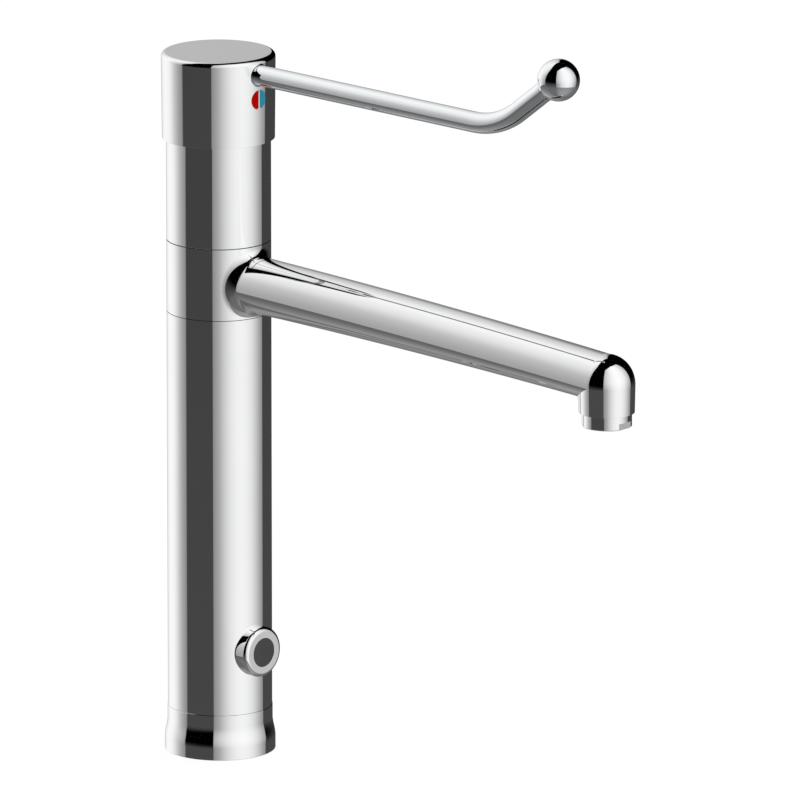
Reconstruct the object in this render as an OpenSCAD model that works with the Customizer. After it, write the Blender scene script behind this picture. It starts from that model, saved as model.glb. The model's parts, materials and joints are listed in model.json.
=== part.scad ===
// Sensor mixer tap: a deck-mounted column with an infrared sensor in its foot,
// a swivelling cast spout and a turning cap with a long ball-ended lever.
// Millimetres. Origin: centre of the base underside, on the deck. +Z up, spout and lever towards -Y.

/* [Base and column] */
// Diameter of the foot where it meets the deck
base_d = 53.1; // [52:0.1:54]
// Height of the foot, up to its seam with the column
base_h = 21.7; // [20:0.1:24]
// Outside diameter of the column
column_d = 50; // [50:0.1:50.6]
// Wall thickness of the column tube
column_wall = 2; // [1.6:0.1:2]
// Height of the seam under the swivel ring
ring_bottom_z = 215.8; // [215:0.1:216]
// Height of the seam over the swivel ring
ring_top_z = 250.9; // [250.9:0.1:251.5]

/* [Spout] */
// Distance from the column axis to the outlet axis
reach = 253.8; // [225:1:280]
// Height of the spout axis where it leaves the ring
spout_root_z = 232.4; // [232:0.1:233]
// Drop of the spout axis at the outlet
spout_drop = 6.6; // [5:0.1:8]
// Height and width of the spout at the ring
spout_root_d = 27.3; // [26:0.1:28]
// Height of the spout at the outlet
spout_end_d = 22.9; // [22:0.1:24]
// Width of the spout at the outlet
spout_end_w = 26; // [24:0.1:27]
// Radius of the root fillet at the sides of the spout
side_fillet = 10; // [4:0.5:11]
// Radius of the root fillet on top of the spout
top_fillet = 3.6; // [2:0.1:4]
// Diameter of the outlet under its dome
outlet_d = 26.5; // [26:0.1:28]
// Height of the collar's lower rim
outlet_z = 210; // [208:0.1:211]
// Diameter of the aerator
aerator_d = 23.5; // [23.2:0.1:23.8]
// Part of the aerator that stands out below the collar
aerator_out = 6.6; // [5.5:0.1:8]
// Width across the aerator's two wrench flats
aerator_flats = 22; // [21.5:0.1:22.5]
// Swing of the spout to each side
spout_swing = 60; // [30:5:70]

/* [Cap and lever] */
// Height of the cap's lower edge
cap_z = 299.3; // [298:0.1:300]
// Height of the cap's flat top
cap_top_z = 341.9; // [341.5:0.1:344]
// Diameter of the cap near its top
cap_d = 54.5; // [54:0.1:56]
// Height of the lever's straight part
lever_z = 334.6; // [334:0.1:335]
// Diameter of the lever rod
lever_d = 10; // [9:0.5:10]
// Distance from the column axis to the start of the lever's bend
lever_bend_at = 168; // [150:1:180]
// Radius of the lever's bend, on its centre line
lever_bend_r = 48; // [30:1:60]
// Slope of the lever's raised end, height over run
lever_slope = 0.75; // [0.5:0.05:1]
// Distance from the column axis to the centre of the ball
ball_at = 222.3; // [215:1:235]
// Diameter of the ball
ball_d = 20; // [18:0.5:24]
// Turn of the lever to each side
lever_turn = 50; // [30:5:50]
// Height of the hot and cold mark
mark_z = 322.6; // [322:0.1:323]
// Diameter of the hot and cold mark
mark_d = 9.3; // [8:0.1:9.5]

/* [Sensor] */
// Height of the sensor's axis
sensor_z = 52; // [50:0.2:56]
// Distance from the column axis to the sensor's face
sensor_face = 29.6; // [29:0.1:31]
// Diameter of the sensor's boss
boss_d = 24.3; // [22:0.1:25]
// Diameter of the window
window_d = 14; // [13:0.5:14]

/* [Inlets and fixing] */
// Tapping radius of the M10 x 1 hose inlets
inlet_r = 4.5; // [4.4:0.05:4.6]
// Depth of the inlet threads
inlet_depth = 12; // [10:0.5:12]
// Tapping radius of the M8 stud hole
stud_r = 3.4; // [3.3:0.05:3.5]
// Depth of the stud hole
stud_depth = 16; // [12:0.5:20]

/* [Valve] */
// Diameter of the solenoid plunger
plunger_d = 8; // [7.8:0.1:8]
// Travel of the plunger
plunger_stroke = 1.8; // [1:0.1:2]
// Turns of the plunger spring
spring_turns = 7; // [5:1:8]

/* [Hidden] */
$fn = 96;
column_r = column_d / 2;
bore_r = column_r - column_wall;
core_r = bore_r - 0.05;
seam = 0.25;                       // open joint above and below the swivel ring
spindle_r = 19;                    // journal that the swivel ring turns on
swivel_play = 0.08;                // radial running clearance of the ring
spindle_top_z = ring_top_z + 0.1;  // shoulder that the upper body seats on
pin_z = ring_top_z - 4.1;           // height of the pin that stops the spout's swing
core_low_z = 196;                  // underside of the waterway core, which is the valve seat plane
core_top_z = 262;                  // cartridge seat
neck_r = 18.5;                     // threaded neck for the upper body
foot_h = 32;                       // height of the foot block
inlet_at = [7.5, 3];               // hose inlets in the foot block, mirrored in x
stud_at = [0, -11];
pipe_at = [8.5, 14];               // riser pipes, mirrored in x
pipe_r = 4;
pipe_bore = 3.2;
riser_at = [9, 7];                 // hot and cold bores inside the spindle, mirrored in x
valve_y = -5;                      // axis of the solenoid valve
mixed_y = 3.5;                     // bore from the cartridge down to the valve
port_y = -8;                       // mixed water port of the cartridge
water_z = 233;                     // height of the ports that feed the spout
cap_low_r = cap_d / 2 - 0.36;      // the cap narrows slightly towards its skirt
lever_rise = atan(lever_slope);
cap_neck_r = 23.4;                 // neck of the upper body inside the cap
neck_top_z = 312;
puck_z = 326;                      // underside of the cap's solid top
cell_at = [7.7, -2.75];            // centres of the battery's round ends, mirrored in x
box_low_z = 67.6;                  // underside of the control box
holder_z = 97.6;                   // underside of the battery holder, on the box's lid
spring_low_z = 156.1;
spring_top_z = 166;
plunger_top_z = 191.8;
pale_steel = [0.86, 0.87, 0.88];
brass = [0.72, 0.58, 0.32];
dark_rubber = [0.08, 0.08, 0.08];

// Solid of revolution about Z from [radius, height] points.
module lathe(points) {
    rotate_extrude() polygon(points);
}

// Plain ring between two heights.
module ring(outer, inner, low, high) {
    lathe([[inner, low], [outer, low], [outer, high], [inner, high]]);
}

// Round bar from one point to another, used for bores and wires alike.
module bar(from, to, r) {
    run = to - from;
    length = norm(run);
    translate(from)
        rotate([0, acos(run.z / length), atan2(run.y, run.x)])
            cylinder(r = r, h = length);
}

// Vertical bar at a place in plan.
module post(at, low, high, r) {
    translate([at.x, at.y, low]) cylinder(r = r, h = high - low);
}

// Ring seal of round section.
module o_ring(r, section_r, z) {
    translate([0, 0, z]) rotate_extrude() translate([r, 0]) circle(r = section_r, $fn = 32);
}

// Turns a shape built upwards so that it points to the front, at a given height.
module facing_front(z) {
    translate([0, 0, z]) rotate([90, 0, 0]) children();
}

// Both copies of a shape, at +x and at -x.
module pair() {
    children();
    mirror([1, 0, 0]) children();
}

// Insulated wire through a list of points, with ball corners and flat ends.
module wire(points, r) {
    last = len(points) - 1;
    for (i = [0 : last - 1]) bar(points[i], points[i + 1], r);
    for (i = [1 : last - 1]) translate(points[i]) sphere(r = r, $fn = 32);
}

// Set screw with a hexagon socket at its lower end, built upwards.
module set_screw(r, length) {
    difference() {
        cylinder(r = r, h = length);
        translate([0, 0, -0.1]) cylinder(r = r * 0.55, h = length * 0.45, $fn = 6);
    }
}

// Outline of the twin-cell battery, grown by an allowance: flat sides and round ends.
module cell_outline(grow) {
    r = 9.6 + grow;
    right = [for (a = [-90 : 7.5 : 90]) [cell_at.x + r * cos(a), cell_at.y + r * sin(a)]];
    left = [for (a = [90 : 7.5 : 270]) [r * cos(a) - cell_at.x, cell_at.y + r * sin(a)]];
    polygon(concat(right, left));
}

// Closed surface through a list of rings, each with the same number of points.
module skin(rings) {
    n = len(rings[0]);
    last = (len(rings) - 1) * n;
    sides = [
        for (k = [0 : len(rings) - 2], i = [0 : n - 1])
            let (a = k * n + i, b = k * n + (i + 1) % n)
                each [[a, b, b + n], [a, b + n, a + n]]
    ];
    first_cap = [for (i = [1 : n - 2]) [0, i + 1, i]];
    last_cap = [for (i = [1 : n - 2]) [last, last + i, last + i + 1]];
    polyhedron(points = [for (r = rings) each r], faces = concat(first_cap, sides, last_cap));
}

// Foot: straight skirt, then an S-curve up to a rim just proud of the column.
module base_flange() {
    flare_low = 5.7;
    flare_high = 15.3;
    steps = 12;
    rim_r = column_r + 0.2;
    flare = [
        for (i = [0 : steps])
            let (t = i / steps)
                [rim_r + (base_d / 2 - rim_r) * (1 + cos(180 * t)) / 2,
                 flare_low + (flare_high - flare_low) * t]
    ];
    edge = 0.15;
    color(pale_steel) difference() {
        lathe(concat(
            [[bore_r, 0], [base_d / 2 - edge, 0], [base_d / 2, edge]], flare,
            [[rim_r, base_h - edge], [rim_r - edge, base_h], [bore_r, base_h]]));
        ring(25.3, 23.9, -1, 1.6);
        bar([0, bore_r - 1, 12], [0, base_d, 12], 2.02);
    }
}

module base_seal() {
    color(dark_rubber) ring(25.25, 23.95, 0, 1.5);
}

module base_grub_screw() {
    color("dimgray") translate([0, 24.6, 12]) rotate([90, 0, 0]) set_screw(1.95, 5);
}

// Foot block: hose inlets and stud hole below, riser pipe sockets above, joined by slanted bores.
module mounting_core() {
    socket_z = 20;
    color(brass) difference() {
        lathe([[0, 0], [core_r, 0], [core_r, foot_h - 1], [core_r - 1, foot_h], [0, foot_h]]);
        post(stud_at, -1, stud_depth, stud_r);
        pair() {
            post(inlet_at, -1, inlet_depth, inlet_r);
            bar([inlet_at.x, inlet_at.y, inlet_depth], [pipe_at.x, pipe_at.y, socket_z + 2], 3);
            post(pipe_at, socket_z, foot_h + 1, pipe_r + 0.05);
        }
        bar([0, 19.4, 12], [0, base_d, 12], 2.02);
    }
}

module column_tube() {
    shank_hole_r = 9.2;
    color(pale_steel) difference() {
        ring(column_r, bore_r, base_h, ring_bottom_z);
        facing_front(sensor_z) cylinder(r = shank_hole_r, h = column_d);
    }
}

// One riser from the foot block to the waterway core, on the side of the given sign.
module riser_pipe(side) {
    low = 20.5;
    high = core_low_z + 8;
    difference() {
        post([side * pipe_at.x, pipe_at.y], low, high, pipe_r);
        post([side * pipe_at.x, pipe_at.y], low - 1, high + 1, pipe_bore);
    }
}

module hot_pipe() {
    color("peru") riser_pipe(-1);
}

module cold_pipe() {
    color("peru") riser_pipe(1);
}

// Boss of the sensor: round-edged face, barrel that widens on to the column, threaded shank.
module sensor_bezel() {
    r = boss_d / 2;
    edge = 2.3;
    flare_r = 12.9;
    flare_low = 21;
    flare_high = 26.2;
    round_edge = [for (a = [0 : 15 : 90]) [r - edge + edge * cos(a), sensor_face - edge + edge * sin(a)]];
    flare = [
        for (a = [0 : 15 : 90])
            [flare_r - (flare_r - r) * sin(a), flare_high - (flare_high - flare_low) * cos(a)]
    ];
    shank_r = 9.15;
    seal_groove = [23.2, 24.6];
    color(pale_steel) facing_front(sensor_z) difference() {
        union() {
            difference() {
                lathe(concat([[0, flare_low]], flare, round_edge, [[0, sensor_face]]));
                rotate([-90, 0, 0]) cylinder(r = column_r + 0.02, h = 60, center = true, $fn = 96);
            }
            translate([0, 0, 12]) cylinder(r = shank_r, h = 14);
        }
        translate([0, 0, 11]) cylinder(r = window_d / 2 + 0.95, h = sensor_face - 13.1);
        cylinder(r = window_d / 2 + 0.03, h = 60);
        ring(shank_r + 1, 8.18, seal_groove[0], seal_groove[1]);
    }
}

module sensor_window() {
    color("dimgray") facing_front(sensor_z)
        lathe([[0, 26.5], [window_d / 2 + 0.9, 26.5], [window_d / 2 + 0.9, 27.45],
            [window_d / 2, 27.45], [window_d / 2, sensor_face - 0.05], [0, sensor_face - 0.05]]);
}

module sensor_housing() {
    r = window_d / 2 + 0.9;
    color("darkslategray") facing_front(sensor_z)
        lathe([[0, 8], [r, 8], [r, 26.45], [r - 0.9, 26.45], [r - 0.9, 9.5], [0, 9.5]]);
}

module sensor_board() {
    color("seagreen") facing_front(sensor_z) translate([0, 0, 10.5])
        cylinder(r = window_d / 2 - 0.1, h = 1.6);
}

// Round diode with a domed front, standing on the sensor board.
module diode(x, r, length) {
    facing_front(sensor_z) translate([x, 0, 12.1]) {
        cylinder(r = r + 0.4, h = 1);
        cylinder(r = r, h = length - r);
        translate([0, 0, length - r]) sphere(r = r, $fn = 48);
    }
}

module infrared_emitter() {
    color("lavender") diode(-3.2, 1.5, 5.4);
}

module infrared_receiver() {
    color("black") diode(2.8, 2.5, 8.6);
}

module sensor_seal() {
    color(dark_rubber) facing_front(sensor_z) o_ring(8.69, 0.5, 23.9);
}

module sensor_nut() {
    color(brass) facing_front(sensor_z) difference() {
        translate([0, 0, 15]) cylinder(r = 12.4, h = 3.5, $fn = 6);
        cylinder(r = 9.2, h = 40);
    }
}

module sensor_cable() {
    color("gray") wire([[0, -7.95, sensor_z], [0, 1, sensor_z], [0, 1, box_low_z - 0.05]], 1.5);
}

// Box of the control electronics, on two legs that stand on the foot block.
module control_box() {
    color("darkslategray") {
        difference() {
            translate([0, 0, box_low_z]) linear_extrude(28.4) cell_outline(1.3);
            translate([0, 0, box_low_z + 1.4]) linear_extrude(40) cell_outline(0);
        }
        pair() post([14.5, cell_at.y], foot_h + 0.02, box_low_z + 0.5, 2.2);
    }
}

module control_box_lid() {
    color("darkslategray") {
        translate([0, 0, 96.05]) linear_extrude(1.5) cell_outline(1.3);
        translate([0, 0, 94.5]) linear_extrude(1.6) difference() {
            cell_outline(-0.1);
            cell_outline(-1.2);
        }
    }
}

// Circuit board of the control with its chip, relay and capacitor.
module control_board() {
    color("seagreen") translate([0, 0, 72]) linear_extrude(1.6) cell_outline(-0.6);
    color("black") {
        translate([-11, -7, 73.6]) cube([9, 9, 1.6]);
        translate([3, -8, 73.6]) cube([8, 10, 9]);
    }
    color("steelblue") translate([-8, 3, 73.6]) cylinder(r = 2.5, h = 8);
}

// Open tray that holds the battery over the control box.
module battery_holder() {
    color("darkslategray") difference() {
        translate([0, 0, holder_z]) linear_extrude(40) cell_outline(1.3);
        translate([0, 0, holder_z + 1.4]) linear_extrude(60) cell_outline(0.1);
        translate([-5, -40, holder_z + 12]) cube([10, 30, 40]);
    }
}

module battery_pack() {
    low = holder_z + 1.45;
    color("goldenrod") translate([0, 0, low]) linear_extrude(35) cell_outline(0);
    color("silver") pair() post(cell_at, low + 34.9, low + 36, 4);
}

// Waterway core: valve seat below, journal for the spout, cartridge seat on top, and all bores.
module waterway_core() {
    collar_top = ring_bottom_z - 0.05;
    turn_z = 213.5;
    mixed_turn_z = 240;
    groove_depth = 1.9;
    color(brass) difference() {
        lathe([[0, core_low_z], [core_r, core_low_z], [core_r, collar_top], [spindle_r, collar_top],
            [spindle_r, spindle_top_z], [neck_r, spindle_top_z], [neck_r, core_top_z - 0.5],
            [neck_r - 0.5, core_top_z], [0, core_top_z]]);
        pair() {
            post(pipe_at, core_low_z - 1, core_low_z + 8.1, pipe_r + 0.05);
            bar([pipe_at.x, pipe_at.y, core_low_z + 8], [riser_at.x, riser_at.y, turn_z], 3);
            post(riser_at, turn_z - 0.5, core_top_z + 1, 3);
            translate([0, valve_y, 0]) post([14.3, 0], core_low_z - 1, core_low_z + 8, 1.5);
        }
        for (y = [-14.3, 14.3]) post([0, valve_y + y], core_low_z - 1, core_low_z + 8, 1.5);
        post([0, mixed_y], core_low_z - 1, mixed_turn_z, 2.5);
        bar([0, mixed_y, mixed_turn_z - 1], [0, port_y, core_top_z + 0.1], 2.5);
        post([0, port_y], core_top_z - 2, core_top_z + 1, 3);
        translate([0, valve_y, 0]) {
            ring(11, 6, core_low_z - 1, core_low_z + 3.5);
            cylinder(r = 4.5, h = water_z + 4);
        }
        bar([-column_r, valve_y, water_z], [column_r, valve_y, water_z], 4);
        for (z = [221.2, 242.1]) ring(spindle_r + 1, spindle_r - groove_depth, z, z + 2.6);
        bar([0, spindle_r - 5, pin_z], [0, column_r, pin_z], 1.52);
    }
}

module valve_diaphragm() {
    color(dark_rubber) translate([0, valve_y, 0])
        lathe([[0.6, 193], [5, 193], [5, 194.5], [12.3, 194.5], [12.3, 195.95], [0.6, 195.95]]);
}

// Cover of the valve with the guide tube that the plunger slides in.
module valve_cover() {
    guide_r = plunger_d / 2 + 0.08;
    color("gainsboro") translate([0, valve_y, 0]) difference() {
        lathe([[0, 154.6], [5.2, 154.6], [5.2, 190], [16.4, 190], [16.4, 194.45], [0, 194.45]]);
        ring(11, 0, 191, 200);
        translate([0, 0, 156]) cylinder(r = guide_r, h = 60);
        for (a = [0 : 90 : 270]) rotate(a) translate([14.3, 0, 150]) cylinder(r = 1.6, h = 60);
    }
}

module valve_screws() {
    color("silver") translate([0, valve_y, 0])
        for (a = [0 : 90 : 270])
            rotate(a) translate([14.3, 0, 0]) difference() {
                lathe([[0, 187.4], [2.5, 187.4], [2.5, 189.95], [1.45, 189.95], [1.45, 203.5],
                    [0, 203.5]]);
                translate([0, 0, 187]) cylinder(r = 1.4, h = 1.6, $fn = 6);
            }
}

// Winding of the solenoid between the two flanges of its bobbin.
module solenoid_coil() {
    color("peru") translate([0, valve_y, 0])
        lathe([[5.3, 158], [9.6, 158], [9.6, 159.2], [8.9, 159.2], [8.9, 187.6], [9.6, 187.6],
            [9.6, 188.8], [5.3, 188.8]]);
}

module coil_yoke() {
    color("lightsteelblue") translate([0, valve_y, 0])
        lathe([[5.3, 156.6], [10.6, 156.6], [10.6, 189.9], [9.7, 189.9], [9.7, 157.8], [5.3, 157.8]]);
}

module valve_cable() {
    back = 10.4;
    color("gray") wire([[0, 8.2, 88], [0, back, 88], [0, back, 164], [0, 5.7, 164]], 1.1);
}

module solenoid_plunger() {
    r = plunger_d / 2;
    color("silver") translate([0, valve_y, 0])
        lathe([[0, spring_top_z], [r, spring_top_z], [r, plunger_top_z - 0.5],
            [r - 0.5, plunger_top_z], [2, plunger_top_z], [2, 192.9], [0, 192.9]]);
}

// Return spring: one helix with two closed end turns, swept with a six-sided wire.
module plunger_spring() {
    wire_r = 0.3;
    coil_r = 3.2;
    closed = 0.75;
    per_turn = 18;
    total = spring_turns * per_turn;
    low = spring_low_z + wire_r;
    high = spring_top_z - wire_r;
    lift = 0.7;
    free_turns = spring_turns - 2 * closed;
    function height(turn) =
        turn < closed ? low + lift * turn / closed :
        turn > spring_turns - closed ? high - lift * (spring_turns - turn) / closed :
        low + lift + (high - low - 2 * lift) * (turn - closed) / free_turns;
    rings = [
        for (k = [0 : total])
            let (turn = k / per_turn, a = 360 * turn, z = height(turn))
                [for (i = [0 : 5])
                    let (r = coil_r + wire_r * cos(60 * i))
                        [r * cos(a), r * sin(a), z - wire_r * sin(60 * i)]]
    ];
    color("silver") translate([0, valve_y, 0]) skin(rings);
}

module lower_bearing_ring() {
    color("ivory") ring(23.8, 19.1, ring_bottom_z + 0.01, ring_bottom_z + 2);
}

module upper_bearing_ring() {
    color("ivory") ring(23.8, 19.1, ring_top_z - 1.95, ring_top_z + 0.09);
}

module lower_swivel_seal() {
    color(dark_rubber) o_ring(18.05, 0.93, 222.5);
}

module upper_swivel_seal() {
    color(dark_rubber) o_ring(18.05, 0.93, 243.4);
}

// Pin in the journal that limits the spout's swing.
module swivel_stop_pin() {
    color("silver") bar([0, spindle_r - 4.9, pin_z], [0, 20.9, pin_z], 1.48);
}

// Upper body: seats on the core's shoulder, holds the cartridge, and necks in under the cap.
module upper_body() {
    shoulder_z = cap_z - 0.15;
    color(pale_steel) lathe([
        [neck_r + 0.05, spindle_top_z], [column_r, spindle_top_z], [column_r, shoulder_z],
        [cap_neck_r, shoulder_z], [cap_neck_r, neck_top_z],
        [18.6, neck_top_z], [18.6, 288], [17.5, 288], [17.5, core_top_z + 0.1],
        [neck_r + 0.05, core_top_z + 0.1]
    ]);
}

// Places a child at each of the three ports under the cartridge: hot, cold and mixed.
module at_ports() {
    for (p = [[-riser_at.x, riser_at.y], riser_at, [0, port_y]]) translate(p) children();
}

module cartridge_base() {
    low = core_top_z + 0.05;
    color("ivory") difference() {
        translate([0, 0, low]) cylinder(r = 17.4, h = 268 - low);
        at_ports() {
            translate([0, 0, 250]) cylinder(r = 3, h = 30);
            translate([0, 0, 250]) cylinder(r = 4.9, h = core_top_z + 1.5 - 250);
        }
    }
}

module cartridge_seals() {
    color(dark_rubber) at_ports() ring(4.85, 3.3, core_top_z + 0.05, core_top_z + 1.45);
}

module fixed_disc() {
    color("white") difference() {
        translate([0, 0, 268.02]) cylinder(r = 15.1, h = 4);
        at_ports() translate([0, 0, 260]) cylinder(r = 3, h = 30);
    }
}

// Moving disc with the pocket in its underside where hot and cold water meet.
module moving_disc() {
    low = 272.07;
    color("white") difference() {
        translate([0, 0, low]) cylinder(r = 14.5, h = 277 - low);
        for (p = [[-6.6, 5], [6.6, 5], [0, -5.5], [0, 0]])
            translate([p.x, p.y, low - 1]) cylinder(r = 5.5, h = 4);
    }
}

// Housing of the cartridge, with the rib that stops the stem at both ends of its turn.
module cartridge_body() {
    stop_half = lever_turn + 11;
    color("lightgray") {
        lathe([[15.2, 268.02], [17.4, 268.02], [17.4, 288], [11, 288], [11, 300], [7.08, 300],
            [7.08, 281.4], [15.2, 281.4]]);
        rotate(90 + stop_half) translate([0, 0, 278]) rotate_extrude(angle = 360 - 2 * stop_half)
            translate([13.7, 0]) square([1.6, 3.5]);
    }
}

// Stem: carrier that turns the moving disc, round shaft, splined end for the cap.
module cartridge_stem() {
    teeth = 20;
    lug_half = 10;
    spline = [
        for (i = [0 : teeth - 1])
            each [for (s = [[-0.3, 4.5], [-0.15, 5], [0.15, 5], [0.3, 4.5]])
                let (a = 360 * (i + s[0]) / teeth) [s[1] * cos(a), s[1] * sin(a)]]
    ];
    color(brass) {
        lathe([[0, 277.02], [13.5, 277.02], [13.5, 281.3], [7, 281.3], [7, 302], [0, 302]]);
        rotate(90 - lug_half) translate([0, 0, 278.1]) rotate_extrude(angle = 2 * lug_half)
            translate([13, 0]) square([2, 3.1]);
        translate([0, 0, 301.9]) linear_extrude(26) polygon(spline);
    }
}

module cartridge_nut() {
    color(brass) difference() {
        union() {
            ring(18.5, 11.1, 288.05, 296);
            translate([0, 0, 295.9]) cylinder(r = 15.5, h = 4, $fn = 6);
        }
        translate([0, 0, 280]) cylinder(r = 11.1, h = 40);
    }
}

// Turning cap: bevelled skirt, slight taper, rounded top edge, boss on the stem inside.
module handle_cap() {
    top_r = cap_d / 2;
    edge = 2.2;
    taper_top = cap_top_z - edge;
    round_edge = [for (a = [0 : 15 : 90]) [top_r - edge + edge * cos(a), taper_top + edge * sin(a)]];
    color(pale_steel) difference() {
        lathe(concat(
            [[23.6, cap_z], [column_r + 0.1, cap_z], [cap_low_r, cap_z + 1.1]], round_edge,
            [[0, cap_top_z], [0, 303], [10, 303], [10, puck_z], [23.6, puck_z]]));
        translate([0, 0, 300]) cylinder(r = 5.06, h = 28.6);
        bar([0, 0, lever_z], [0, -60, lever_z], 4);
        bar([0, 0, mark_z], [0, -60, mark_z], 2.55);
        bar([0, -12, mark_z], [0, -60, mark_z], mark_d / 2);
    }
}

// Wafer of the cap's wall between two depths, cut to the shape of the mark.
module mark_wafer(r, inner, outer) {
    intersection() {
        bar([0, -20, mark_z], [0, -40, mark_z], r);
        ring(outer, inner, mark_z - 10, mark_z + 10);
    }
}

// Half of the mark's coloured face, on the side of the given sign.
module mark_half(side) {
    wall_r = cap_d / 2 - 0.1;
    rib = 0.3;
    intersection() {
        mark_wafer(mark_d / 2 - 0.35, wall_r - 0.8, wall_r);
        translate([side > 0 ? rib : -20, -40, mark_z - 10]) cube([20 - rib, 40, 20]);
    }
}

// White plug over the set screw; its rim and rib frame the two coloured halves.
module indicator_plug() {
    wall_r = cap_d / 2 - 0.1;
    color("white") difference() {
        mark_wafer(mark_d / 2 - 0.03, wall_r - 3, wall_r);
        mark_half(-1);
        mark_half(1);
    }
}

module hot_mark() {
    color("firebrick") mark_half(-1);
}

module cold_mark() {
    color("steelblue") mark_half(1);
}

module handle_grub_screw() {
    color("dimgray") translate([0, -10.4, mark_z]) rotate([-90, 0, 0]) set_screw(2.5, 5.3);
}

// Runs its children at the ball's centre with +Z along the raised part of the rod.
module at_lever_end(back) {
    bend_y = lever_bend_at + lever_bend_r * sin(lever_rise);
    bend_z = lever_z + lever_bend_r * (1 - cos(lever_rise));
    end_z = bend_z + (ball_at - bend_y) * tan(lever_rise);
    translate([0, -ball_at, end_z]) rotate([90 - lever_rise, 0, 0]) translate([0, 0, -back]) children();
}

// Lever rod: screwed stub, filleted root, straight run, smooth bend, raised end.
module lever_rod() {
    r = lever_d / 2;
    fillet = 0.9;
    wall = cap_d / 2;
    root = [for (a = [0 : 15 : 90])
        [r + fillet - fillet * sin(a), wall + fillet - fillet * cos(a)]];
    raised = (ball_at - lever_bend_at - lever_bend_r * sin(lever_rise)) / cos(lever_rise);
    into_ball = ball_d / 2 - 1.45;
    color(pale_steel) {
        difference() {
            facing_front(lever_z)
                lathe(concat([[0, wall - 3], [r + fillet, wall - 3]], root,
                    [[r, lever_bend_at], [0, lever_bend_at]]));
            cylinder(r = wall + 0.02, h = 400);
        }
        facing_front(lever_z) translate([0, 0, 12]) cylinder(r = 3.95, h = 18);
        translate([0, -lever_bend_at, lever_z + lever_bend_r]) rotate([90, 0, -90]) {
            rotate(-90) rotate_extrude(angle = lever_rise, $fn = 192)
                translate([lever_bend_r, 0]) circle(r = r, $fn = 64);
            rotate(lever_rise) translate([0, -lever_bend_r, 0]) rotate([0, 90, 0]) rotate(-90)
                cylinder(r = r, h = raised - into_ball);
        }
        at_lever_end(into_ball + 0.1) cylinder(r = 3, h = into_ball - 4);
    }
}

// Ball knob with the thin collar that seats it on the rod.
module lever_ball() {
    seat = ball_d / 2 - 1.5;
    color(pale_steel) at_lever_end(0) difference() {
        union() {
            sphere(r = ball_d / 2);
            translate([0, 0, -ball_d / 2 - 0.3]) cylinder(r = lever_d / 2 + 0.5, h = 3);
        }
        translate([0, 0, -ball_d]) cylinder(r = lever_d / 2 + 0.02, h = ball_d - seat);
        translate([0, 0, -ball_d]) cylinder(r = 3.05, h = ball_d - 3);
    }
}

// Height of the spout's axis at a distance from the column: a shallow arch.
function spout_z(d) = spout_root_z - spout_drop * (d / reach) * (0.2 + 0.8 * d / reach);

// Half of the spout's height at a distance from the column.
function spout_r(d) = (spout_root_d + (spout_end_d - spout_root_d) * (d - column_r)
    / (reach - column_r)) / 2;

// Half of the spout's width at a distance from the column.
function spout_w(d) = (spout_root_d + (spout_end_w - spout_root_d) * (d - column_r)
    / (reach - column_r)) / 2;

// How far the widest level of the egg-shaped section lies below its middle.
function belly(d) = let (u = d / reach) 0.35 + 3.4 * u - 1.35 * u * u;

// Semi-axis of the section above (sign 1) or below (sign -1) its widest level.
function spout_half(d, sign) = spout_r(d) + sign * belly(d);

// Point of the section at a distance from the column; angle a runs round it from the top.
function section_point(d, a) =
    [spout_w(d) * sin(a), spout_z(d) - belly(d) + spout_half(d, sign(cos(a))) * cos(a)];

// Outward direction of the section at the same place.
function section_normal(d, a) =
    let (n = [sin(a) / spout_w(d), cos(a) / spout_half(d, sign(cos(a)))])
    n / norm(n);

// Radius of the root fillet round the spout: wide at the sides, tight on top and below.
function root_fillet(a) =
    let (low_fillet = top_fillet - 1.1, s2 = sin(a) * sin(a))
    (top_fillet + low_fillet) / 2 * (1 - s2) + (top_fillet - low_fillet) / 2 * cos(a)
    + side_fillet * s2;

// One point of the fillet between ring and spout, as a ball rolls round the root.
// a goes round the spout, t runs from the ring (0) to the spout (1).
function fillet_point(a, t) =
    let (
        ball = root_fillet(a),
        big = column_r + ball,
        n = section_normal(column_r, a),
        p = section_point(column_r, a) + ball * n,
        centre = [p[0], -sqrt(big * big - p[0] * p[0]), p[1]],
        to_ring = -[centre.x, centre.y, 0] / big,
        to_spout = -[n[0], 0, n[1]],
        blend = to_ring * (1 - t) + to_spout * t
    )
    centre + ball * blend / norm(blend);

// The fillet's first point, drawn in a little so that the skin enters the ring at an angle.
function fillet_start(a) =
    let (p = fillet_point(a, 0), k = 1 - 0.15 / column_r)
    [p.x * k, p.y * k, p.z];

// Outer form of the spout from inside the ring to the outlet axis.
module spout_tube() {
    sides = 60;
    arc_steps = 8;
    runs = 12;
    start = 42;
    angles = [for (i = [0 : sides - 1]) 360 * i / sides];
    inner_ring = [for (a = angles)
        [10 * sin(a), -12, spout_root_z + 10 * cos(a)]];
    first = [for (a = angles) fillet_start(a)];
    root = [for (k = [1 : arc_steps]) [for (a = angles) fillet_point(a, k / arc_steps)]];
    tube = [
        for (k = [0 : runs])
            let (d = start + (reach - start) * k / runs)
                [for (a = angles) let (p = section_point(d, a)) [p[0], -d, p[1]]]
    ];
    skin(concat([inner_ring, first], root, tube));
}

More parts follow.
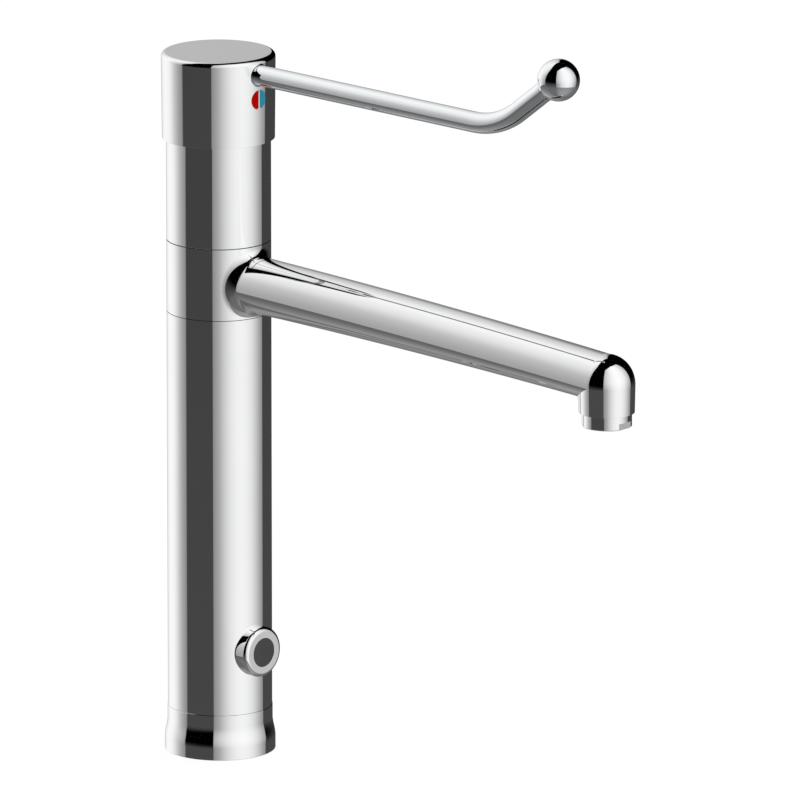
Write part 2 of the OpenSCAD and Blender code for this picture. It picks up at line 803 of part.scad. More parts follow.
// Swivelling spout: ring, tapered arm and domed outlet in one casting, with its waterway.
module swivel_spout() {
    dome_z = 223.2;
    dome_h = 14.3;
    r = outlet_d / 2;
    recess_r = 24;
    chamfer = 0.15;
    stop_half = spout_swing + 5;
    color(pale_steel) difference() {
        union() {
            ring(column_r, spindle_r, ring_bottom_z - 2, ring_top_z - 0.15);
            spout_tube();
            translate([0, -reach, 0])
                lathe(concat([[0, outlet_z], [r - 0.25 - chamfer, outlet_z],
                    [r - 0.25, outlet_z + chamfer]],
                    [for (a = [0 : 7.5 : 90]) [r * cos(a), dome_z + dome_h * sin(a)]]));
        }
        translate([0, 0, 200]) cylinder(r = spindle_r + swivel_play, h = 60);
        ring(column_r + 5, 10, ring_bottom_z - 5, ring_bottom_z + seam);
        ring(recess_r, 10, ring_bottom_z - 1, ring_bottom_z + 2.05);
        ring(recess_r, 10, ring_top_z - 2, ring_top_z + 1);
        ring(21.6, 10, water_z - 4.8, water_z + 4.8);
        rotate(90 - stop_half) translate([0, 0, pin_z - 1.8]) rotate_extrude(angle = 2 * stop_half)
            translate([10, 0]) square([11.2, 3.6]);
        bar([0, -18, water_z - 1], [0, -reach, dome_z + 1], 8);
        translate([0, -reach, 0]) {
            translate([0, 0, outlet_z - 1]) cylinder(r = 11.45, h = 9.6);
            translate([0, 0, outlet_z]) cylinder(r = 9.4, h = dome_z - outlet_z);
            translate([0, 0, dome_z]) sphere(r = 9.4);
        }
    }
}

// Aerator sleeve: thread above, visible rim with two wrench flats below.
module aerator_housing() {
    r = aerator_d / 2;
    low = outlet_z - aerator_out;
    flat_h = 3.2;
    flat_turn = 3;
    color(pale_steel) translate([0, -reach, 0]) difference() {
        lathe([[9.6, low], [r - 0.3, low], [r, low + 0.3], [r, outlet_z - 0.05],
            [11.4, outlet_z - 0.05], [11.4, outlet_z + 7], [9.9, outlet_z + 7], [9.9, low + 1.6],
            [9.6, low + 1.6]]);
        rotate(flat_turn) for (side = [-1, 1])
            translate([-20, side > 0 ? aerator_flats / 2 : -20 - aerator_flats / 2, low - 1])
                cube([40, 20, flat_h + 1]);
    }
}

// Stream straightener: honeycomb of six-sided passages.
module aerator_insert() {
    low = outlet_z - aerator_out + 1.65;
    pitch = 2.7;
    cell = 1.25;
    rows = 3;
    cells = [
        for (q = [-rows : rows], s = [-rows : rows])
            if (abs(q + s) <= rows) [pitch * (q + s / 2), pitch * s * sqrt(3) / 2]
    ];
    color("whitesmoke") translate([0, -reach, low]) {
        linear_extrude(4) difference() {
            circle(r = 9.8);
            for (p = cells) translate(p) rotate(30) circle(r = cell, $fn = 6);
        }
        ring(9.8, 8.4, 3.9, 11.6);
    }
}

module aerator_seal() {
    color(dark_rubber) translate([0, -reach, 0]) ring(11.3, 8.9, outlet_z + 7.05, outlet_z + 8.55);
}

base_flange();
base_seal();
base_grub_screw();
mounting_core();
column_tube();
hot_pipe();
cold_pipe();
sensor_bezel();
sensor_window();
sensor_housing();
sensor_board();
infrared_emitter();
infrared_receiver();
sensor_seal();
sensor_nut();
sensor_cable();
control_box();
control_box_lid();
control_board();
battery_holder();
battery_pack();
waterway_core();
valve_diaphragm();
valve_cover();
valve_screws();
solenoid_coil();
coil_yoke();
valve_cable();
solenoid_plunger();
plunger_spring();
lower_bearing_ring();
upper_bearing_ring();
lower_swivel_seal();
upper_swivel_seal();
swivel_stop_pin();
upper_body();
cartridge_base();
cartridge_seals();
fixed_disc();
moving_disc();
cartridge_body();
cartridge_stem();
cartridge_nut();
handle_cap();
indicator_plug();
hot_mark();
cold_mark();
handle_grub_screw();
lever_rod();
lever_ball();
swivel_spout();
aerator_housing();
aerator_insert();
aerator_seal();
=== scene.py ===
"""Looks of the sensor mixer tap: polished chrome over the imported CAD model.

Lengths below are millimetres, as on a drawing, and become metres when a mesh is made.
The column stands on the origin, +Z is up, the spout and the lever point towards -Y.
"""
import json
import math

import bpy
import numpy as np
from mathutils import Matrix, Vector


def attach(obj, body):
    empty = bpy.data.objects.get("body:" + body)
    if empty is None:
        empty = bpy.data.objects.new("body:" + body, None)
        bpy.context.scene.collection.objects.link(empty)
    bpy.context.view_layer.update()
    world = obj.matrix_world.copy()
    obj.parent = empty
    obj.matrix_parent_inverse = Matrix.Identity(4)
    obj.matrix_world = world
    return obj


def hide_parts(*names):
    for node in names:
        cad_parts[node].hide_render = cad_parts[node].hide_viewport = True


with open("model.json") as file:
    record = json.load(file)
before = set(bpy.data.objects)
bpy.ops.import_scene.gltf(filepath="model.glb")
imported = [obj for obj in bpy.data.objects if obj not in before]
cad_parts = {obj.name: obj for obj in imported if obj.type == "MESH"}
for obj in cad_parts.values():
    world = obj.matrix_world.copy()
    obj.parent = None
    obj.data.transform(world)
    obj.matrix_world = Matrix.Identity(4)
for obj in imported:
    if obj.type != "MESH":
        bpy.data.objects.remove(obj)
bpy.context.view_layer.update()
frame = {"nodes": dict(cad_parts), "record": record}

MM = 0.001
COLUMN_R, COLUMN_BORE_R = 25.0, 23.0

# Foot: skirt, S-curve up to its rim, seal groove underneath, grub screw hole at the back
FOOT_R, FOOT_RIM_R, FOOT_H = 26.55, 25.2, 21.7
FOOT_CURVE_LOW, FOOT_CURVE_H = 5.7, 9.6
GROOVE_IN_R, GROOVE_OUT_R, GROOVE_H = 23.9, 25.3, 1.6
FOOT_SCREW_Z, FOOT_SCREW_R = 12.0, 2.02

# Sensor: its axis, its face's distance from the column's axis, its boss and its window
SENSOR_Z, SENSOR_FACE = 52.0, 29.6
BOSS_R, BOSS_ROOT_R, BOSS_ROOT_AT, BOSS_EDGE = 12.15, 12.2, 21.4, 2.2
WINDOW_R, WINDOW_GAP, WINDOW_FACE = 7.0, 0.03, 27.5

# Open seams under and over the swivel ring
TUBE_HIGH, RING_LOW = 215.8, 216.1
RING_HIGH, BODY_LOW = 250.65, 251.1
RING_BORE_R = 19.08

# Spout: middle at the ring, fall to the outlet, and the arm's half height and half width there
SPOUT_Z, SPOUT_DROP, REACH = 232.4, 6.6, 253.6
SPOUT_ROOT_R = 13.65
SPOUT_END_R, SPOUT_END_W = 11.45, 13.45
SIDE_FILLET, TOP_FILLET, LOW_FILLET, END_FILLET = 10.0, 3.6, 2.5, 1.5
# How far below its middle the arm is widest: at the axis, growing outwards, slowing down
BELLY, BELLY_GROWTH, BELLY_SLOWING = 0.35, 3.4, 1.35
OUTLET_R, OUTLET_LOW, OUTLET_TAPER = 13.44, 210.0, 0.25
DOME_Z, DOME_H = 223.2, 14.3
AERATOR_SEAT_R, AERATOR_THREAD_R, AERATOR_SEAT_Z = 9.4, 11.45, 218.6

# Upper column: spigot inside the cap, and the bores for the cartridge, its nut and its seat
SPIGOT_R, SPIGOT_HIGH = 23.4, 312.0
NUT_BORE_R, NUT_BORE_LOW = 18.6, 288.0
CARTRIDGE_R = 17.5
CORE_BORE_R, CORE_BORE_HIGH = 18.55, 262.1

# Cap: skirt, rounded top edge, hollow, and the hub that grips the cartridge's stem
CAP_LOW, CAP_HIGH, CAP_EDGE = 300.4, 341.9, 2.2
CAP_LOW_R, CAP_R = 26.89, 27.25
CAP_BORE_R, CAP_ROOF = 23.6, 326.0
HUB_R, HUB_LOW = 10.0, 303.0
STEM_BORE_R, STEM_BORE_HIGH = 5.06, 328.6
MARK_Z, MARK_R = 322.6, 4.65
RED, BLUE = (0.47, 0.0, 0.0), (0.034, 0.27, 0.39)

# Lever: level bar, bend, slope, and the ball with its collar, measured along the slope
LEVER_Z, LEVER_R, LEVER_FILLET = 334.6, 5.0, 0.9
BEND_AT, BEND_R = 168.0, 48.0
LEVER_RISE = math.atan(0.75)
BALL_AT, BALL_R = 222.3, 10.0
COLLAR_R, COLLAR_LOW, COLLAR_HIGH = 5.5, -10.3, -8.2


# Shader groups

def new_group(name, inputs, outputs):
    """Empty shader group; its inputs are (name, kind, default), its outputs (name, kind)."""
    group = bpy.data.node_groups.new(name, "ShaderNodeTree")
    for socket_name, kind, default in inputs:
        s = group.interface.new_socket(name=socket_name, in_out="INPUT", socket_type=kind)
        s.default_value = default
    for socket_name, kind in outputs:
        group.interface.new_socket(name=socket_name, in_out="OUTPUT", socket_type=kind)
    return group, Sheet(group)


class Sheet:
    """Short words for laying out nodes in one tree."""

    def __init__(self, tree):
        self.tree = tree
        self.made = 0

    def node(self, kind, **settings):
        n = self.tree.nodes.new(kind)
        self.made += 1
        n.location = (180 * (self.made % 9), -200 * (self.made // 9))
        for key, value in settings.items():
            setattr(n, key, value)
        return n

    def feed(self, socket, value):
        if isinstance(value, bpy.types.NodeSocket):
            self.tree.links.new(value, socket)
        elif value is not None:
            socket.default_value = value

    def math(self, operation, a, b=None, c=None, clamp=False):
        n = self.node("ShaderNodeMath", operation=operation, use_clamp=clamp)
        for i, value in enumerate((a, b, c)):
            self.feed(n.inputs[i], value)
        return n.outputs[0]

    def remap(self, value, low, high, to_low, to_high, smooth=False):
        n = self.node("ShaderNodeMapRange")
        if smooth:
            n.interpolation_type = "SMOOTHSTEP"
        for i, v in enumerate((value, low, high, to_low, to_high)):
            self.feed(n.inputs[i], v)
        return n.outputs[0]

    def mix(self, share, a, b):
        n = self.node("ShaderNodeMix", data_type="RGBA")
        self.feed(n.inputs[0], share)
        self.feed(n.inputs[6], a)
        self.feed(n.inputs[7], b)
        return n.outputs[2]

    def blend(self, share, a, b):
        n = self.node("ShaderNodeMix", data_type="FLOAT")
        self.feed(n.inputs[0], share)
        self.feed(n.inputs[2], a)
        self.feed(n.inputs[3], b)
        return n.outputs[0]

    def noise(self, vector, scale, detail=3.0, roughness=0.5):
        n = self.node("ShaderNodeTexNoise")
        self.feed(n.inputs["Vector"], vector)
        self.feed(n.inputs["Scale"], scale)
        n.inputs["Detail"].default_value = detail
        n.inputs["Roughness"].default_value = roughness
        return n.outputs["Fac"]

    def axes(self):
        """The object's own coordinates and their x, y and z."""
        at = self.node("ShaderNodeTexCoord").outputs["Object"]
        split = self.node("ShaderNodeSeparateXYZ")
        self.feed(split.inputs[0], at)
        return at, split.outputs[0], split.outputs[1], split.outputs[2]


def make_surface_variation():
    """Slow drift between two tones, with matching roughness and a fine grain height."""
    group, s = new_group(
        "Surface variation",
        [("Tone", "NodeSocketColor", (0.8, 0.8, 0.8, 1)),
         ("Second Tone", "NodeSocketColor", (0.7, 0.7, 0.7, 1)),
         ("Patch Scale", "NodeSocketFloat", 40.0), ("Grain Scale", "NodeSocketFloat", 1500.0),
         ("Smooth", "NodeSocketFloat", 0.2), ("Rough", "NodeSocketFloat", 0.4)],
        [("Colour", "NodeSocketColor"), ("Roughness", "NodeSocketFloat"),
         ("Grain", "NodeSocketFloat")])
    given = s.node("NodeGroupInput").outputs
    at = s.axes()[0]
    patches = s.remap(s.noise(at, given["Patch Scale"], 4.0), 0.3, 0.7, 0.0, 1.0)
    grain = s.noise(at, given["Grain Scale"], 2.0)
    out = s.node("NodeGroupOutput")
    s.feed(out.inputs["Colour"], s.mix(patches, given["Tone"], given["Second Tone"]))
    wear = s.math("MULTIPLY_ADD", grain, 0.25, s.math("MULTIPLY", patches, 0.75), clamp=True)
    s.feed(out.inputs["Roughness"], s.blend(wear, given["Smooth"], given["Rough"]))
    s.feed(out.inputs["Grain"], grain)
    return group


def make_ring_lines():
    """Fine lines round a vertical axis, as a lathe tool or a winding leaves them."""
    group, s = new_group(
        "Ring lines",
        [("Pitch", "NodeSocketFloat", 0.0005), ("Unevenness", "NodeSocketFloat", 0.3)],
        [("Height", "NodeSocketFloat")])
    given = s.node("NodeGroupInput").outputs
    at, _, _, z = s.axes()
    turns = s.math("DIVIDE", z, given["Pitch"])
    wobble = s.math("MULTIPLY", s.noise(at, 300.0, 2.0), given["Unevenness"])
    wave = s.math("SINE", s.math("MULTIPLY", s.math("ADD", turns, wobble), 2 * math.pi))
    s.feed(s.node("NodeGroupOutput").inputs["Height"], s.math("MULTIPLY_ADD", wave, 0.5, 0.5))
    return group


def make_bore_thread():
    """Mask and height of a screw thread on the wall of one upright bore."""
    group, s = new_group(
        "Bore thread",
        [("Bore X", "NodeSocketFloat", 0.0), ("Bore Y", "NodeSocketFloat", 0.0),
         ("Bore Radius", "NodeSocketFloat", 0.0045), ("Pitch", "NodeSocketFloat", 0.001),
         ("Depth", "NodeSocketFloat", 0.012)],
        [("Mask", "NodeSocketFloat"), ("Height", "NodeSocketFloat")])
    given = s.node("NodeGroupInput").outputs
    _, x, y, z = s.axes()
    dx, dy = s.math("SUBTRACT", x, given["Bore X"]), s.math("SUBTRACT", y, given["Bore Y"])
    away = s.math("SQRT", s.math("MULTIPLY_ADD", dx, dx, s.math("MULTIPLY", dy, dy)))
    in_bore = s.math("COMPARE", away, given["Bore Radius"], 0.0001)
    low_enough = s.math("LESS_THAN", z, given["Depth"])
    turn = s.math("DIVIDE", s.math("ARCTAN2", dy, dx), 2 * math.pi)
    saw = s.math("PINGPONG", s.math("ADD", s.math("DIVIDE", z, given["Pitch"]), turn), 0.5)
    out = s.node("NodeGroupOutput")
    s.feed(out.inputs["Mask"], s.math("MULTIPLY", in_bore, low_enough))
    s.feed(out.inputs["Height"], s.math("MULTIPLY", saw, 2.0))
    return group


SURFACE_VARIATION = make_surface_variation()
RING_LINES = make_ring_lines()
BORE_THREAD = make_bore_thread()


# Materials

def start_material(name):
    material = bpy.data.materials.new(name)
    material.use_nodes = True
    tree = material.node_tree
    s = Sheet(tree)
    return material, s, tree.nodes["Principled BSDF"].inputs


def lay_finish(s, shader, tone, second, smooth, rough, patch=40.0, grain=1500.0):
    """Places the variation group, feeds colour and roughness, and returns its grain output."""
    n = s.node("ShaderNodeGroup", node_tree=SURFACE_VARIATION)
    n.inputs["Tone"].default_value = (*tone, 1)
    n.inputs["Second Tone"].default_value = (*second, 1)
    n.inputs["Patch Scale"].default_value = patch
    n.inputs["Grain Scale"].default_value = grain
    n.inputs["Smooth"].default_value = smooth
    n.inputs["Rough"].default_value = rough
    s.feed(shader["Base Color"], n.outputs["Colour"])
    s.feed(shader["Roughness"], n.outputs["Roughness"])
    return n.outputs["Grain"]


def lay_bump(s, shader, height, strength, distance):
    n = s.node("ShaderNodeBump")
    n.inputs["Strength"].default_value = strength
    n.inputs["Distance"].default_value = distance
    s.feed(n.inputs["Height"], height)
    s.feed(shader["Normal"], n.outputs[0])


def lines_height(s, pitch, unevenness):
    n = s.node("ShaderNodeGroup", node_tree=RING_LINES)
    n.inputs["Pitch"].default_value = pitch
    n.inputs["Unevenness"].default_value = unevenness
    return n.outputs["Height"]


def chrome(name, tone, second):
    """Polished plating: a mirror whose tone and haze drift a little over the surface.

    The faces inside the two swivel seams carry a painted shade, a near-black colour, and a rough
    finish, so that the seams stay dark."""
    material, s, shader = start_material(name)
    lay_finish(s, shader, tone, second, 0.012, 0.035, patch=18.0, grain=900.0)
    _, x, y, z = s.axes()
    across = s.math("SQRT", s.math("MULTIPLY_ADD", x, x, s.math("MULTIPLY", y, y)))
    inside = s.math("LESS_THAN", across, (COLUMN_R - 0.08) * MM)
    middle, half_height = (TUBE_HIGH + BODY_LOW) / 2, 18.5      # takes in both seams
    swivel = s.math("COMPARE", z, middle * MM, half_height * MM)
    painted_seam_shade = s.math("MULTIPLY", inside, swivel)
    plated, haze = (shader[key].links[0].from_socket for key in ("Base Color", "Roughness"))
    # Painted shade: inside the two seams the chrome's colour turns near black and its roughness goes
    # up
    s.feed(shader["Base Color"], s.mix(painted_seam_shade, plated, (0.03, 0.03, 0.03, 1)))
    s.feed(shader["Roughness"], s.blend(painted_seam_shade, haze, 0.6))
    shader["Metallic"].default_value = 1.0
    return material


def bare_metal(name, tone, second, smooth, rough, pitch=0.0006, strength=0.15):
    """Turned metal without plating, with the tool's lines."""
    material, s, shader = start_material(name)
    lay_finish(s, shader, tone, second, smooth, rough, patch=90.0)
    shader["Metallic"].default_value = 1.0
    lay_bump(s, shader, lines_height(s, pitch, 0.4), strength, distance=0.00003)
    return material


def foot_brass():
    """The foot block's brass, with threads in its two inlets and its stud hole."""
    material, s, shader = start_material("foot_block_brass")
    lay_finish(s, shader, (0.75, 0.56, 0.27), (0.66, 0.47, 0.21), 0.24, 0.4, patch=90.0)
    shader["Metallic"].default_value = 1.0
    height = s.math("MULTIPLY", lines_height(s, 0.0005, 0.4), 0.06)
    hose, stud = (4.5, 1.0, 12.0), (3.4, 1.25, 16.0)        # radius, pitch and depth
    sockets = ("Bore X", "Bore Y", "Bore Radius", "Pitch", "Depth")
    for sizes in [(-7.5, 3.0, *hose), (7.5, 3.0, *hose), (0.0, -11.0, *stud)]:
        n = s.node("ShaderNodeGroup", node_tree=BORE_THREAD)
        for key, value in zip(sockets, sizes):
            n.inputs[key].default_value = value * MM
        height = s.blend(n.outputs["Mask"], height, n.outputs["Height"])
    lay_bump(s, shader, height, strength=0.9, distance=0.0005)
    return material


def plastic(name, tone, second, smooth, rough, grain=1800.0, strength=0.12, shine=0.5):
    """Moulded plastic with a fine spark-eroded grain."""
    material, s, shader = start_material(name)
    height = lay_finish(s, shader, tone, second, smooth, rough, grain=grain)
    lay_bump(s, shader, height, strength, distance=0.00005)
    shader["Specular IOR Level"].default_value = shine
    return material


def rubber():
    material, s, shader = start_material("seal_rubber")
    grain = lay_finish(s, shader, (0.028, 0.028, 0.03), (0.045, 0.044, 0.043), 0.55, 0.75,
                       grain=2500.0)
    lay_bump(s, shader, grain, strength=0.25, distance=0.00005)
    return material


def winding():
    """Lacquered copper wire, wound in close turns."""
    material, s, shader = start_material("coil_copper_wire")
    lay_finish(s, shader, (0.62, 0.27, 0.12), (0.48, 0.18, 0.08), 0.22, 0.36, patch=200.0)
    shader["Metallic"].default_value = 0.9
    shader["Coat Weight"].default_value = 0.5
    lay_bump(s, shader, lines_height(s, 0.0004, 0.15), strength=0.8, distance=0.0001)
    return material


def board():
    """Solder resist over fibreglass, with copper tracks showing through as lighter lines."""
    material, s, shader = start_material("circuit_board_green")
    tone = (0.012, 0.15, 0.07)
    lay_finish(s, shader, tone, (0.01, 0.11, 0.05), 0.28, 0.4)
    cells = s.node("ShaderNodeTexBrick")
    s.feed(cells.inputs["Vector"], s.axes()[0])
    cells.inputs["Scale"].default_value = 420.0
    cells.inputs["Color1"].default_value = (*tone, 1)
    cells.inputs["Color2"].default_value = (0.012, 0.13, 0.06, 1)
    cells.inputs["Mortar"].default_value = (0.03, 0.24, 0.11, 1)
    cells.inputs["Mortar Size"].default_value = 0.03
    s.feed(shader["Base Color"], cells.outputs["Color"])
    return material


def battery_film():
    """Shrunk film round two cells, with a plain darker band at the foot of each."""
    material, s, shader = start_material("battery_film")
    z = s.axes()[3]
    lay_finish(s, shader, (0.6, 0.4, 0.06), (0.52, 0.34, 0.05), 0.2, 0.34, patch=60.0)
    band_high = 110.0
    band = s.math("LESS_THAN", z, band_high * MM)
    base = shader["Base Color"].links[0].from_socket
    s.feed(shader["Base Color"], s.mix(band, base, (0.02, 0.02, 0.022, 1)))
    shader["Coat Weight"].default_value = 0.4
    return material


def mark_plug():
    """White plug whose rim is painted with the two halves; its rib and its foot stay white."""
    material, s, shader = start_material("mark_white")
    grain = lay_finish(s, shader, (0.84, 0.83, 0.81), (0.8, 0.79, 0.77), 0.3, 0.4)
    lay_bump(s, shader, grain, strength=0.03, distance=0.00005)
    half_rib, half_foot, foot_drop = 0.3, 1.3, 4.2
    _, x, _, z = s.axes()
    aside = s.math("ABSOLUTE", x)
    off_rib = s.math("GREATER_THAN", aside, half_rib * MM)
    foot = s.math("MULTIPLY", s.math("LESS_THAN", z, (MARK_Z - foot_drop) * MM),
                  s.math("LESS_THAN", aside, half_foot * MM))
    painted = s.math("MULTIPLY", off_rib, s.math("SUBTRACT", 1.0, foot))
    paint = s.mix(s.math("GREATER_THAN", x, 0.0), (*RED, 1), (*BLUE, 1))
    white = shader["Base Color"].links[0].from_socket
    s.feed(shader["Base Color"], s.mix(painted, white, paint))
    shader["Specular IOR Level"].default_value = 0.1
    return material


def window_plastic():
    """Smoked window that the infrared beam passes through: dark, glossy, faintly cloudy."""
    material, s, shader = start_material("sensor_window_smoke")
    grain = lay_finish(s, shader, (0.043, 0.043, 0.045), (0.052, 0.051, 0.052), 0.22, 0.3,
                       patch=120.0, grain=2200.0)
    lay_bump(s, shader, grain, strength=0.04, distance=0.00003)
    shader["Specular IOR Level"].default_value = 0.25
    return material


CHROME = chrome("polished_chrome", (0.95, 0.952, 0.955), (0.93, 0.933, 0.938))
LEVER_CHROME = chrome("lever_chrome", (0.93, 0.95, 0.965), (0.915, 0.937, 0.953))
FINISH = {
    "chrome_plate": CHROME,
    "raw_brass": bare_metal("turned_brass", (0.75, 0.56, 0.27), (0.66, 0.47, 0.21), 0.2, 0.36),
    "copper": bare_metal("drawn_copper", (0.78, 0.4, 0.25), (0.62, 0.3, 0.18), 0.22, 0.38,
                         pitch=0.004, strength=0.05),
    "stainless": bare_metal("turned_stainless", (0.62, 0.62, 0.63), (0.55, 0.55, 0.56), 0.2, 0.34),
    "black_rubber": rubber(),
    "black_plastic": plastic("housing_plastic", (0.03, 0.03, 0.032), (0.04, 0.04, 0.041), 0.4, 0.55),
    "white_plastic": plastic("white_acetal", (0.82, 0.81, 0.77), (0.77, 0.76, 0.71), 0.3, 0.42),
    "ceramic": plastic("lapped_ceramic", (0.86, 0.85, 0.82), (0.82, 0.81, 0.77), 0.08, 0.16,
                       grain=4000.0, strength=0.03),
    "board_green": board(),
    "battery_wrap": battery_film(),
    "dark_window": window_plastic(),
    "clear_diode": plastic("clear_epoxy", (0.72, 0.73, 0.82), (0.66, 0.67, 0.76), 0.06, 0.12,
                           strength=0.02),
    "dark_diode": plastic("dark_epoxy", (0.02, 0.014, 0.028), (0.03, 0.02, 0.035), 0.06, 0.12,
                          strength=0.02),
    "grey_cable": plastic("cable_sheath", (0.2, 0.2, 0.21), (0.16, 0.16, 0.17), 0.42, 0.55),
    "red_mark": plastic("hot_mark_red", RED, (0.43, 0.0, 0.0), 0.3, 0.4,
                        strength=0.03, shine=0.02),
    "blue_mark": plastic("cold_mark_blue", BLUE, (0.03, 0.25, 0.36), 0.3, 0.4,
                         strength=0.03, shine=0.02),
}
OWN_FINISH = {
    "mounting_core": foot_brass(),
    "solenoid_coil": winding(),
    "indicator_plug": mark_plug(),
}


# Mesh tools

def add_piece(name, parts, body, material, nodes):
    """One mesh from (points, normals, faces) parts; it rides on a body and stands for CAD nodes."""
    points, normals, faces, start = [], [], [], 0
    for p, n, f in parts:
        points.append(np.asarray(p, float))
        normals.append(np.asarray(n, float))
        faces += [[start + i for i in face] for face in f]
        start += len(p)
    mesh = bpy.data.meshes.new(name)
    mesh.from_pydata((np.vstack(points) * MM).tolist(), [], faces)
    mesh.polygons.foreach_set("use_smooth", [True] * len(mesh.polygons))
    unit = np.vstack(normals)
    unit /= np.linalg.norm(unit, axis=1)[:, None]
    mesh.normals_split_custom_set_from_vertices(unit.tolist())
    mesh.materials.append(material)
    piece = bpy.data.objects.new(name, mesh)
    bpy.context.scene.collection.objects.link(piece)
    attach(piece, body)
    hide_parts(*nodes)
    return piece


def quads(rows, columns, around=True, skip=()):
    """Faces of a grid of points, rows by columns, joined round the columns unless told not to."""
    faces = []
    for i in range(rows - 1):
        if i in skip:
            continue
        for j in range(columns if around else columns - 1):
            k = (j + 1) % columns
            faces.append([i * columns + j, i * columns + k, (i + 1) * columns + k,
                          (i + 1) * columns + j])
    return faces


def outline(corners, closed=False, steps=8):
    """Samples (r, z, normal r, normal z) along a turned outline of (r, z, rounding) corners.

    Going up the outside, the normal points outwards. Rounding 0 keeps a corner sharp, and None
    makes it a point on a smooth curve. A sharp corner gives two samples at one place."""
    count = len(corners)
    samples = []
    for i, (r, z, rounding) in enumerate(corners):
        here = np.array([r, z], float)
        before = np.array(corners[i - 1][:2], float) if closed or i else None
        after = np.array(corners[(i + 1) % count][:2], float) if closed or i < count - 1 else None
        into = (here - before) / np.linalg.norm(here - before) if before is not None else None
        away = (after - here) / np.linalg.norm(after - here) if after is not None else None
        if into is None or away is None:
            d = away if into is None else into
            samples.append((r, z, d[1], -d[0]))
            continue
        first, second = np.array([into[1], -into[0]]), np.array([away[1], -away[0]])
        if rounding is None:
            samples.append((r, z, *(first + second)))
        elif rounding == 0:
            samples += [(r, z, *first), (r, z, *second)]
        else:
            turn = math.atan2(into[0] * away[1] - into[1] * away[0], float(into @ away))
            back = rounding * math.tan(abs(turn) / 2)
            start = here - into * back
            side = first if turn < 0 else -first
            centre = start + side * rounding
            for k in range(steps + 1):
                a = turn * k / steps
                spoke = -side
                spoke = np.array([spoke[0] * math.cos(a) - spoke[1] * math.sin(a),
                                  spoke[0] * math.sin(a) + spoke[1] * math.cos(a)])
                samples.append((*(centre + spoke * rounding), *(spoke if turn > 0 else -spoke)))
    if closed:
        samples.append(samples[0])
    return samples


def turned(samples, columns=256, place=None):
    """Surface of revolution of outline samples, about Z, or about an axis given by a matrix."""
    angle = np.linspace(0, 2 * math.pi, columns, endpoint=False)
    cos, sin = np.cos(angle), np.sin(angle)
    points, normals, skip = [], [], set()
    for i, (r, z, nr, nz) in enumerate(samples):
        points.append(np.stack([r * cos, r * sin, np.full(columns, z)], -1))
        normals.append(np.stack([nr * cos, nr * sin, np.full(columns, nz)], -1))
        if i and abs(samples[i - 1][0] - r) + abs(samples[i - 1][1] - z) < 1e-9:
            skip.add(i - 1)
    points, normals = np.vstack(points), np.vstack(normals)
    if place is not None:
        m = np.array(place)
        points = points @ m[:3, :3].T + m[:3, 3]
        normals = normals @ m[:3, :3].T
    return points, normals, quads(len(samples), columns, skip=skip)


def wall_with_hole(radius_at, low, high, toward, hole_z, hole_r, depth, columns=256):
    """Outer wall between two heights with one round hole, bored level towards an angle."""
    reach_rows, reach_columns = 8, 1
    half = hole_r * 1.9
    while radius_at(hole_z) * math.sin(2 * math.pi * reach_columns / columns) <= half:
        reach_columns += 1
    window = [hole_z + half * (2 * k / reach_rows - 1) for k in range(reach_rows + 1)]
    below = list(np.linspace(low, window[0], 14))[:-1]
    above = list(np.linspace(window[-1], high, 14))[1:]
    heights = below + window + above

    def on_wall(a, z):
        """Point and normal of the wall at an angle and a height."""
        r = radius_at(z)
        slope = (radius_at(z + 0.01) - radius_at(z - 0.01)) / 0.02
        return [r * math.cos(a), r * math.sin(a), z], [math.cos(a), math.sin(a), -slope]

    grid = [on_wall(toward + 2 * math.pi * j / columns, z) for z in heights
            for j in range(columns)]
    points, normals = [p for p, _ in grid], [n for _, n in grid]
    first, last = len(below), len(below) + reach_rows
    faces = []
    for i in range(len(heights) - 1):
        for j in range(columns):
            inside = j < reach_columns or j >= columns - reach_columns
            if first <= i < last and inside:
                continue
            k = (j + 1) % columns
            faces.append([i * columns + j, i * columns + k, (i + 1) * columns + k,
                          (i + 1) * columns + j])

    rim = [(first, j) for j in range(-reach_columns, reach_columns)]
    rim += [(i, reach_columns) for i in range(first, last)]
    rim += [(last, j) for j in range(reach_columns, -reach_columns, -1)]
    rim += [(i, -reach_columns) for i in range(last, first, -1)]
    count, rings = len(rim), 6
    patch = []
    for step in range(rings + 1):
        share = step / rings
        for i, j in rim:
            side = radius_at(heights[i]) * math.sin(2 * math.pi * j / columns)
            rise = heights[i] - hole_z
            turn = math.atan2(rise, side)
            s = side * (1 - share) + hole_r * math.cos(turn) * share
            z = hole_z + rise * (1 - share) + hole_r * math.sin(turn) * share
            patch.append(on_wall(toward + math.asin(s / radius_at(z)), z))
    start = len(points)
    points += [p for p, _ in patch]
    normals += [n for _, n in patch]
    faces += [[start + v for v in f] for f in quads(rings + 1, count)]

    bore = np.array([p for p, _ in patch[-count:]])
    ahead = np.array([math.cos(toward), math.sin(toward), 0.0])
    middle = np.array([0, 0, hole_z]) + np.outer(bore @ ahead, ahead)
    inward = middle - bore
    start = len(points)
    points += bore.tolist() + (bore - ahead * depth).tolist()
    normals += inward.tolist() * 2
    faces += [[start + v for v in f] for f in quads(2, count)]
    return np.array(points), np.array(normals), faces


def round_section(r, height, columns):
    """Points (x, z) of a round bar's section, clockwise from the top, and their directions."""
    angle = np.linspace(0, 2 * math.pi, columns, endpoint=False)
    out = np.stack([np.sin(angle), np.cos(angle)], -1)
    return r * out + [0, height], out


